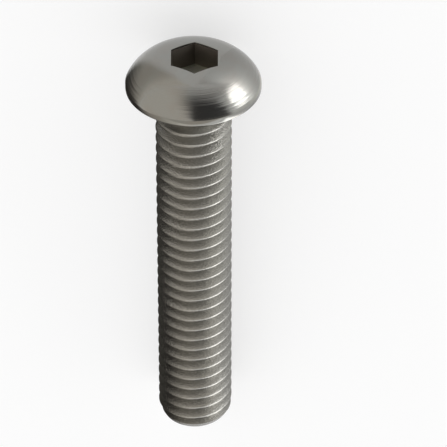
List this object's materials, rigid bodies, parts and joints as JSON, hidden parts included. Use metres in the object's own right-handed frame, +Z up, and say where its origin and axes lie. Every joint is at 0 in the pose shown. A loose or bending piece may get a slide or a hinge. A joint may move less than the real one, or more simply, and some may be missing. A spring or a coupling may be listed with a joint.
{
  "type": "button head screw",
  "caption": "Stainless steel button head socket cap screw: low domed head with a hexagon socket, on a fully threaded shank with a chamfered end.",
  "frame": {"origin": "on the ground below the middle of the screw's box as it lies at rest", "axes": "+Z up; the screw's axis lies in the XZ plane, its head towards +X and raised about 4 degrees, because it rests on the rim of its head and the end of its thread"},
  "size_m": [0.0552, 0.0164, 0.0164],
  "materials": {
    "stainless": "satin stainless steel, turned dome"
  },
  "bodies": {
    "root": {"button_head_screw": "stainless"}
  },
  "joints": []
}
